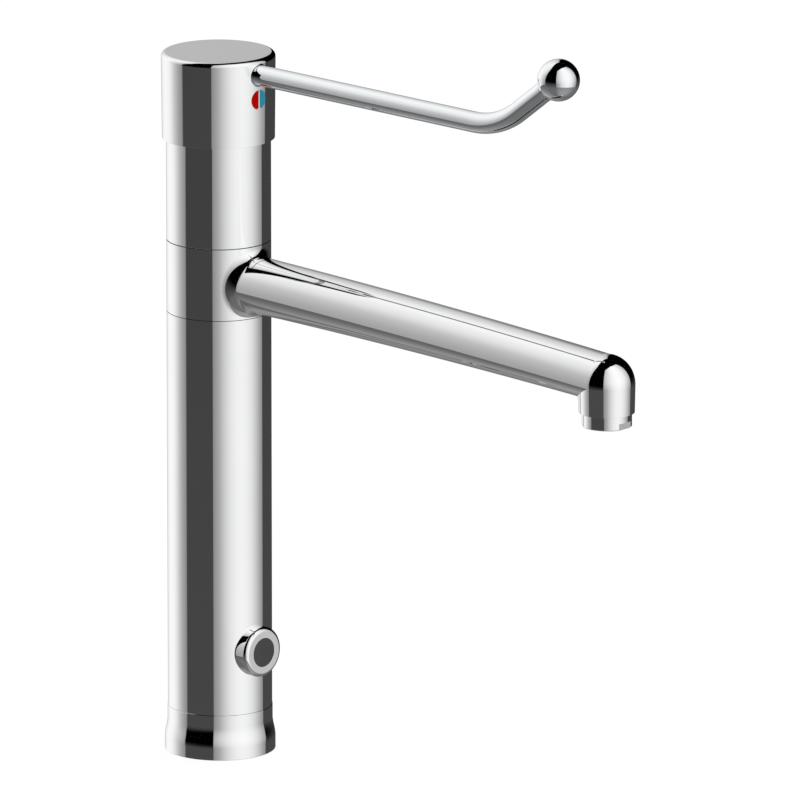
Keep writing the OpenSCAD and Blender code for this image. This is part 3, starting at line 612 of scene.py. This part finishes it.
def filleted_root(section, out, ball_r, body_r, steps=14):
    """Rows of the fillet that a ball leaves when it rolls round a level bar on an upright body.

    The section is the bar's, with its outward directions; the ball's radius may vary round it.
    The first row lies just inside the body, the last one on the bar."""
    ball = np.broadcast_to(np.asarray(ball_r, float), len(section))
    x, z = (section + out * ball[:, None]).T
    big = body_r + ball
    centre = np.stack([x, -np.sqrt(big * big - x * x), z], -1)
    to_body = -centre * [1, 1, 0] / big[:, None]
    to_bar = -np.stack([out[:, 0], np.zeros(len(out)), out[:, 1]], -1)
    between = np.arccos(np.clip((to_body * to_bar).sum(-1), -1, 1))[:, None]
    rows, normals = [], []
    for k in range(steps + 1):
        t = k / steps
        spoke = (np.sin((1 - t) * between) * to_body + np.sin(t * between) * to_bar) \
            / np.sin(between)
        rows.append(centre + ball[:, None] * spoke)
        normals.append(-spoke)
    sunk = rows[0] * [1 - 0.1 / body_r, 1 - 0.1 / body_r, 1]
    return [sunk] + rows, [normals[0]] + normals


def skin(rows, normals):
    """Tube through rows of points that run clockwise as seen from where the tube ends."""
    faces = quads(len(rows), len(rows[0]))
    return np.vstack(rows), np.vstack(normals), [face[::-1] for face in faces]


def facing_front(height):
    """Matrix that lays a turned part's axis towards the front at a height."""
    return Matrix.Translation((0, 0, height)) @ Matrix.Rotation(math.radians(90), 4, "X")


# Chrome pieces

def foot_radius(z):
    """Foot: straight skirt, then an S-curve up to a rim just proud of the column."""
    t = min(max((z - FOOT_CURVE_LOW) / FOOT_CURVE_H, 0), 1)
    return FOOT_RIM_R + (FOOT_R - FOOT_RIM_R) * (1 + math.cos(math.pi * t)) / 2


def make_foot():
    low, high = 0.5, FOOT_H - 0.25
    wall = wall_with_hole(foot_radius, low, high, math.pi / 2, FOOT_SCREW_Z, FOOT_SCREW_R,
                          depth=3.0)
    rest = outline([
        (FOOT_RIM_R, high, None), (FOOT_RIM_R, FOOT_H, 0.15), (COLUMN_BORE_R, FOOT_H, 0.0),
        (COLUMN_BORE_R, 0.0, 0.0), (GROOVE_IN_R, 0.0, 0.0), (GROOVE_IN_R, GROOVE_H, 0.0),
        (GROOVE_OUT_R, GROOVE_H, 0.0), (GROOVE_OUT_R, 0.0, 0.0), (FOOT_R, 0.0, 0.15),
        (FOOT_R, low, None)])
    add_piece("foot_flange", [wall, turned(rest)], "body", CHROME,
              ["base_flange"])


def make_column_tube():
    low = FOOT_H + 0.03
    tube = outline([(COLUMN_BORE_R, low, 0.0), (COLUMN_R, low, 0.15),
                    (COLUMN_R, TUBE_HIGH, 0.0), (COLUMN_BORE_R, TUBE_HIGH, 0.0)], closed=True)
    add_piece("lower_column", [turned(tube)], "body", CHROME, ["column_tube"])


def make_sensor_boss():
    """Nearly straight barrel out of the column, and a face with a round edge."""
    columns = 160
    _, out = round_section(BOSS_R, SENSOR_Z, columns)
    edge_at = SENSOR_FACE - BOSS_EDGE
    spread = (BOSS_ROOT_R - BOSS_R) / (edge_at - BOSS_ROOT_AT)
    depth = np.sqrt((COLUMN_R - 0.3) ** 2 - (BOSS_ROOT_R * out[:, 0]) ** 2)
    rows = []
    for share in (0.0, 0.5, 1.0):
        at = depth + (edge_at - depth) * share
        r = BOSS_R + (edge_at - at) * spread
        rows.append(np.stack([r * out[:, 0], -at, SENSOR_Z + r * out[:, 1]], -1))
    facing = np.stack([out[:, 0], np.full(columns, -spread), out[:, 1]], -1)
    opening = WINDOW_R + WINDOW_GAP
    front = outline([(BOSS_R, edge_at, None), (BOSS_R, SENSOR_FACE, BOSS_EDGE),
                     (opening, SENSOR_FACE, 0.12), (opening, WINDOW_FACE, None)], steps=12)
    add_piece("sensor_boss", [skin(rows, [facing] * 3),
                              turned(front, columns, facing_front(SENSOR_Z))],
              "body", CHROME, ["sensor_bezel"])


def make_upper_column():
    under_cap = CAP_LOW - 0.08
    shape = outline([
        (CORE_BORE_R, BODY_LOW, 0.0), (COLUMN_R, BODY_LOW, 0.0), (COLUMN_R, under_cap, 0.0),
        (SPIGOT_R, under_cap, 0.0), (SPIGOT_R, SPIGOT_HIGH, 0.3), (NUT_BORE_R, SPIGOT_HIGH, 0.0),
        (NUT_BORE_R, NUT_BORE_LOW, 0.0), (CARTRIDGE_R, NUT_BORE_LOW, 0.0),
        (CARTRIDGE_R, CORE_BORE_HIGH, 0.0), (CORE_BORE_R, CORE_BORE_HIGH, 0.0)], closed=True)
    add_piece("upper_column", [turned(shape)], "body", CHROME, ["upper_body"])


def cap_radius(z):
    return CAP_LOW_R + (CAP_R - CAP_LOW_R) * (z - CAP_LOW) / (CAP_HIGH - CAP_EDGE - CAP_LOW)


def make_cap():
    low, high = CAP_LOW + 0.3, CAP_HIGH - CAP_EDGE
    wall = wall_with_hole(cap_radius, low, high, -math.pi / 2, MARK_Z, MARK_R + 0.1, depth=1.2)
    top = outline([(CAP_R, high, None), (CAP_R, CAP_HIGH, CAP_EDGE), (0.0, CAP_HIGH, 0.0)], steps=14)
    skirt = outline([
        (0.0, STEM_BORE_HIGH, 0.0), (STEM_BORE_R, STEM_BORE_HIGH, 0.0), (STEM_BORE_R, HUB_LOW, 0.0),
        (HUB_R, HUB_LOW, 0.0), (HUB_R, CAP_ROOF, 0.0), (CAP_BORE_R, CAP_ROOF, 0.0),
        (CAP_BORE_R, CAP_LOW - 0.05, 0.0), (CAP_LOW_R, CAP_LOW, 0.05),
        (cap_radius(low), low, None)])
    add_piece("cap_shell", [wall, turned(top[1:]), turned(skirt)], "handle",
              CHROME, ["handle_cap"])


def spout_height(d):
    """Height of the arm's middle line, which bends down towards the outlet."""
    return SPOUT_Z - SPOUT_DROP * (d / REACH) * (0.2 + 0.8 * d / REACH)


def spout_section(d, angle):
    """Points and unscaled normals of the arm's egg-shaped section at a distance d."""
    def shape(at):
        u, run = at / REACH, (at - COLUMN_R) / (REACH - COLUMN_R)
        belly = BELLY + BELLY_GROWTH * u - BELLY_SLOWING * u * u
        half = SPOUT_ROOT_R + (SPOUT_END_R - SPOUT_ROOT_R) * run
        wide = SPOUT_ROOT_R + (SPOUT_END_W - SPOUT_ROOT_R) * run
        trim = np.where(np.cos(angle) < 0, 0.1 + 0.35 * u, 0.0)     # lifts the underside a little
        tall = half + belly * np.sign(np.cos(angle)) - trim
        return wide, tall, spout_height(at) - belly

    def points(at):
        wide, tall, z = shape(at)
        return np.stack([wide * np.sin(angle), -at + 0 * angle, z + tall * np.cos(angle)], -1)

    wide, tall, _ = shape(d)
    round_it = np.stack([wide * np.cos(angle), 0 * angle, -tall * np.sin(angle)], -1)
    return points(d), np.cross(points(d + 0.5) - points(d - 0.5), round_it)


def arm_end(angle):
    """How far out the arm ends at each angle: on top where it sinks into the dome, else the axis."""
    near, far = np.full(len(angle), REACH - 6.0), np.full(len(angle), REACH + 7.0)
    size = np.array([OUTLET_R, OUTLET_R, DOME_H]) - 0.03
    for _ in range(30):
        middle = (near + far) / 2
        points = (spout_section(middle, angle)[0] + [0, REACH, -DOME_Z]) / size
        beyond = (np.linalg.norm(points, axis=1) > 1) & (middle > REACH)
        near, far = np.where(beyond, near, middle), np.where(beyond, middle, far)
    return np.where(np.cos(angle) > -0.05, near, REACH)


def outlet_fillet(angle):
    """Fillet between the arm's underside and the outlet's wall, seen from below."""
    lower = angle[(angle > math.radians(98)) & (angle < math.radians(262))]
    points, out = spout_section(REACH - 10.0, lower)
    out = out[:, [0, 2]] / np.linalg.norm(out[:, [0, 2]], axis=1)[:, None]
    smallest = 0.15
    ball = smallest + (END_FILLET - smallest) * (-np.cos(lower)) ** 0.6
    rows, normals = filleted_root(points[:, [0, 2]], out, ball, OUTLET_R - 0.1, steps=8)
    rows = [row * [1, -1, 1] - [0, REACH, 0] for row in rows]
    normals = [normal * [1, -1, 1] for normal in normals]
    return np.vstack(rows), np.vstack(normals), quads(len(rows), len(lower), around=False)


def make_spout():
    columns = 224
    ring = outline([(RING_BORE_R, RING_LOW, 0.0), (COLUMN_R, RING_LOW, 0.0),
                    (COLUMN_R, RING_HIGH, 0.0), (RING_BORE_R, RING_HIGH, 0.0)], closed=True)
    angle = np.linspace(0, 2 * math.pi, columns, endpoint=False)
    root, out = (a[:, [0, 2]] for a in spout_section(COLUMN_R, angle))
    out = out / np.linalg.norm(out, axis=1)[:, None]
    side = np.sin(angle) ** 2
    ball = (TOP_FILLET + LOW_FILLET) / 2 * (1 - side) + SIDE_FILLET * side \
        + (TOP_FILLET - LOW_FILLET) / 2 * np.cos(angle)
    rows, normals = filleted_root(root, out, ball, COLUMN_R, steps=20)
    for row in rows:
        row[:, 2] = np.maximum(row[:, 2], RING_LOW)
    start, end = 40.0, arm_end(angle)
    for share in np.linspace(0, 1, 70):
        points, facing = spout_section(start + (end - start) * share, angle)
        rows.append(points)
        normals.append(facing)
    swell = [(OUTLET_R * math.cos(a), DOME_Z + DOME_H * math.sin(a),
              DOME_H * math.cos(a), OUTLET_R * math.sin(a)) for a in np.linspace(0, math.pi / 2, 60)]
    collar = outline([
        (AERATOR_SEAT_R, AERATOR_SEAT_Z, 0.0), (AERATOR_THREAD_R, AERATOR_SEAT_Z, 0.0),
        (AERATOR_THREAD_R, OUTLET_LOW, 0.1), (OUTLET_R - OUTLET_TAPER, OUTLET_LOW, 0.03),
        (OUTLET_R, DOME_Z, None)])
    outlet = turned(collar[1:] + swell, 192, Matrix.Translation((0, -REACH, 0)))
    add_piece("spout_casting",
              [turned(ring), skin(rows, normals), outlet_fillet(angle), outlet],
              "spout", CHROME, ["swivel_spout"])


def make_lever():
    columns = 96
    rows, normals = filleted_root(*round_section(LEVER_R, LEVER_Z, columns), LEVER_FILLET,
                                  cap_radius(LEVER_Z), steps=10)
    angle = np.linspace(0, 2 * math.pi, columns, endpoint=False)
    side, up = np.sin(angle), np.cos(angle)
    bend_y = BEND_AT + BEND_R * math.sin(LEVER_RISE)
    bend_z = LEVER_Z + BEND_R * (1 - math.cos(LEVER_RISE))
    ball_z = bend_z + (BALL_AT - bend_y) * math.tan(LEVER_RISE)
    start = 29.5                                            # past the fillet
    line = [(d, LEVER_Z, 0.0) for d in np.linspace(start, BEND_AT, 12)]
    line += [(BEND_AT + BEND_R * math.sin(a), LEVER_Z + BEND_R * (1 - math.cos(a)), a)
             for a in np.linspace(0, LEVER_RISE, 40)[1:]]
    stop = BALL_AT - (BALL_R - 2.0) * math.cos(LEVER_RISE)  # inside the ball
    line.append((stop, bend_z + (stop - bend_y) * math.tan(LEVER_RISE), LEVER_RISE))
    for d, z, a in line:
        spoke = np.stack([side, math.sin(a) * up, math.cos(a) * up], -1)
        rows.append(spoke * LEVER_R + [0, -d, z])
        normals.append(spoke)
    add_piece("lever_bar", [skin(rows, normals)], "handle", LEVER_CHROME,
              ["lever_rod"])
    place = Matrix.Translation((0, -BALL_AT, ball_z)) @ Matrix.Rotation(
        math.pi / 2 - LEVER_RISE, 4, "X")
    hidden = 0.5                                            # angle that the bar's end covers
    ball = [(BALL_R * math.sin(a), BALL_R * math.cos(a), math.sin(a), math.cos(a))
            for a in np.linspace(math.pi - hidden, 0, 90)]
    collar = outline([(LEVER_R - 0.4, COLLAR_LOW, 0.0), (COLLAR_R, COLLAR_LOW, 0.25),
                      (COLLAR_R, COLLAR_HIGH, 0.0)])
    add_piece("ball_knob", [turned(ball, 128, place), turned(collar, 96, place)], "handle",
              LEVER_CHROME, ["lever_ball"])


for make in (make_foot, make_column_tube, make_sensor_boss, make_upper_column, make_cap,
             make_spout, make_lever):
    make()


# CAD nodes that stay in view

slot_of = {s["node"]: s["material_slot"] for s in frame["record"]["subparts"]}
for name, node in frame["nodes"].items():
    material = OWN_FINISH.get(name) or FINISH[slot_of[name]]
    if not node.data.materials:
        node.data.materials.append(material)
    for i in range(len(node.data.materials)):
        node.data.materials[i] = material


# Studio, floor and camera

CAMERA_BEARING = -136.0        # compass angle of the camera seen from the tap, from +X
CAMERA_AT = (-5.0938, -5.0389, 1.9751)
CAMERA_BACK, CAMERA_RIGHT = (-0.69759, -0.67364, 0.24416), (0.69466, -0.71934, 0.0)
CAMERA_WIDTH = 36.0
FOCAL_PIXELS, PICTURE_PIXELS = 15483.0, 800.0       # focal length and picture's side in pixels


def light_of(grey):
    """Linear light of a grey from 0 to 255, as it looks on a screen."""
    return ((grey / 255 + 0.055) / 1.055) ** 2.4 if grey > 10 else grey / 255 / 12.92


def ramp(s, factor, stops):
    """Colour ramp from (position, grey) stops."""
    n = s.node("ShaderNodeValToRGB")
    s.feed(n.inputs[0], factor)
    band = n.color_ramp.elements
    while len(band) < len(stops):
        band.new(0.5)
    for element, (position, grey) in zip(band, stops):
        light = light_of(grey)
        element.position = position
        element.color = (light, light, light, 1)
    return n.outputs[0]


def track(s, factor, stops, low, high):
    """Value that follows (position, value) stops, all of them between low and high."""
    n = s.node("ShaderNodeValToRGB")
    s.feed(n.inputs[0], factor)
    band = n.color_ramp.elements
    while len(band) < len(stops):
        band.new(0.5)
    for element, (position, value) in zip(band, stops):
        share = (value - low) / (high - low)
        element.position = position
        element.color = (share, share, share, 1)
    return s.remap(n.outputs[0], 0.0, 1.0, low, high)


def by_bearing(stops):
    return [((bearing + 180) / 360, grey) for bearing, grey in stops]


def by_height(stops):
    return [((height + 90) / 180, grey) for height, grey in stops]


def panel_light(s, across, height):
    """Light of the two panels, from three ramps over the bearing: low, level and high."""
    low = ramp(s, across, by_bearing([
        (-180, 165), (-170, 190), (-160, 222), (-148, 243), (-134, 249), (-120, 243),
        (-110, 227), (-100, 196), (-88, 161), (-77, 134), (-13, 136), (0, 168), (12, 203),
        (25, 227), (38, 239), (50, 243), (62, 239), (75, 226), (88, 200), (100, 166),
        (111, 136), (180, 135)]))
    level = ramp(s, across, by_bearing([
        (-180, 181), (-170, 206), (-160, 228), (-148, 244), (-134, 250), (-120, 246),
        (-110, 235), (-100, 216), (-88, 190), (-77, 160), (-13, 176), (2, 212), (15, 232),
        (30, 247), (50, 254), (70, 246), (85, 229), (98, 203), (111, 168), (180, 165)]))
    high = ramp(s, across, by_bearing([
        (-180, 194), (-172, 212), (-165, 225), (-153, 240), (-134, 247), (-122, 245),
        (-110, 239), (-98, 229), (-88, 211), (-77, 185), (-13, 186), (2, 216), (15, 235),
        (30, 248), (50, 254), (70, 248), (85, 234), (98, 212), (111, 182), (180, 180)]))
    panels = s.mix(s.remap(height, -14.0, 12.0, 0.0, 1.0), low, level)
    return s.mix(s.remap(height, 12.0, 38.0, 0.0, 1.0, True), panels, high)


def wall_light(s, across, upwards, height):
    """The panels, and the dark gaps between them."""
    on_panel = ramp(s, across, by_bearing([
        (-180, 255), (-77.9, 255), (-76.7, 0), (-13.8, 0), (-12.6, 255), (109.8, 255), (111, 0),
        (176.0, 0), (177.2, 215), (179.4, 230), (180, 255)]))
    gaps = ramp(s, upwards, by_height([
        (-40, 98), (-27, 88), (-20, 78), (-15, 68), (-13, 62), (-9, 48), (-5, 27), (-1, 6), (2, 0)]))
    return s.mix(on_panel, gaps, panel_light(s, across, height))


def ground_light(s, across, height):
    """The ground, nearly level and further down."""
    near_ground = ramp(s, across, by_bearing([
        (-180, 100), (-134, 110), (-110, 104), (-90, 98), (-60, 96), (-20, 98), (0, 120),
        (20, 131), (50, 135), (80, 128), (110, 104), (150, 98), (180, 100)]))
    deep_ground = ramp(s, across, by_bearing([
        (-180, 130), (-134, 158), (-110, 146), (-90, 128), (-60, 104), (-20, 106), (0, 135),
        (20, 147), (50, 150), (80, 142), (110, 112), (150, 104), (180, 130)]))
    return s.mix(s.remap(height, -24.0, -50.0, 0.0, 1.0), near_ground, deep_ground)


def room_light(s, across, upwards, height):
    """Ground, walls and a dark ceiling, with the heights in degrees where they meet."""
    foot_edge = track(s, across, by_bearing([
        (-180, -26), (-134, -26), (-110, -21), (-90, -17.5), (-77, -16), (-60, -27), (-13, -27),
        (0, -27), (50, -28.7), (90, -27), (111, -25), (130, -27), (180, -26)]), -40.0, 0.0)
    top_edge = track(s, across, by_bearing([
        (-180, 58), (-158, 64.8), (-138, 66.8), (-118, 66.9), (-108, 65), (-98, 62.7), (-90, 59.8),
        (-84, 55), (-81, 50), (-78.5, 40), (-77, 30), (-30, 60), (-13, 63), (0, 67), (15, 71),
        (50, 74.5), (80, 70), (100, 64.5), (111, 59.5), (180, 58)]), 0.0, 90.0)
    above = s.math("SUBTRACT", height, foot_edge)
    over = s.math("SUBTRACT", height, top_edge)
    room = s.mix(s.remap(above, -0.7, 0.7, 0.0, 1.0), ground_light(s, across, height),
                 wall_light(s, across, upwards, height))
    return s.mix(s.remap(over, -1.2, 1.2, 0.0, 1.0), room, (0, 0, 0, 1))


def make_studio():
    """White surroundings; what shines sees two tall soft panels with dark gaps between them."""
    world = bpy.data.worlds.new("studio")
    bpy.context.scene.world = world
    world.use_nodes = True
    s = Sheet(world.node_tree)
    world.node_tree.nodes.clear()
    split = s.node("ShaderNodeSeparateXYZ")
    s.feed(split.inputs[0], s.node("ShaderNodeTexCoord").outputs["Generated"])
    x, y, z = split.outputs
    degrees = s.math("MULTIPLY", s.math("ARCTAN2", y, x), 180 / math.pi)
    bearing = s.math("WRAP", s.math("SUBTRACT", degrees, CAMERA_BEARING), 180.0, -180.0)
    height = s.math("MULTIPLY", s.math("ARCSINE", z), 180 / math.pi)
    across = s.remap(bearing, -180.0, 180.0, 0.0, 1.0)
    upwards = s.remap(height, -90.0, 90.0, 0.0, 1.0)
    seen = s.node("ShaderNodeBackground")
    s.feed(seen.inputs["Color"], room_light(s, across, upwards, height))
    seen.inputs["Strength"].default_value = 1.06
    plain = s.node("ShaderNodeBackground")
    plain.inputs["Color"].default_value = (1, 1, 1, 1)
    plain.inputs["Strength"].default_value = 1.0
    choose = s.node("ShaderNodeMixShader")
    s.feed(choose.inputs[0], s.node("ShaderNodeLightPath").outputs["Is Glossy Ray"])
    s.feed(choose.inputs[1], plain.outputs[0])
    s.feed(choose.inputs[2], seen.outputs[0])
    s.feed(s.node("ShaderNodeOutputWorld").inputs[0], choose.outputs[0])


def make_floor():
    """Plain white floor, lit mostly from within, that keeps a faint shadow under the foot."""
    bpy.ops.mesh.primitive_plane_add(size=40.0, location=(0, 0, -0.0002))
    floor = bpy.context.object
    floor.name = "studio_floor"
    material = bpy.data.materials.new("floor_white")
    material.use_nodes = True
    s = Sheet(material.node_tree)
    material.node_tree.nodes.clear()
    matt = s.node("ShaderNodeBsdfDiffuse")
    matt.inputs["Color"].default_value = (1, 1, 1, 1)
    glow = s.node("ShaderNodeEmission")
    glow.inputs["Color"].default_value = (1, 1, 1, 1)
    glow.inputs["Strength"].default_value = 1.02
    share = s.node("ShaderNodeMixShader")
    share.inputs[0].default_value = 0.9
    s.feed(share.inputs[1], matt.outputs[0])
    s.feed(share.inputs[2], glow.outputs[0])
    s.feed(s.node("ShaderNodeOutputMaterial").inputs[0], share.outputs[0])
    floor.data.materials.append(material)
    floor.visible_glossy = False


def make_camera():
    """Long lens from the front left, a little above the tap."""
    back = Vector(CAMERA_BACK).normalized()
    right = Vector(CAMERA_RIGHT).normalized()
    up = back.cross(right)
    camera = bpy.data.objects.new("studio_camera", bpy.data.cameras.new("studio_camera"))
    bpy.context.scene.collection.objects.link(camera)
    camera.data.sensor_width = CAMERA_WIDTH
    camera.data.lens = CAMERA_WIDTH * FOCAL_PIXELS / PICTURE_PIXELS
    camera.data.clip_start, camera.data.clip_end = 0.5, 100.0
    place = Matrix((right, up, back)).transposed().to_4x4()
    place.translation = Vector(CAMERA_AT)
    camera.matrix_world = place
    bpy.context.scene.camera = camera


make_studio()
make_floor()
make_camera()
bpy.context.scene.view_settings.view_transform = "Standard"
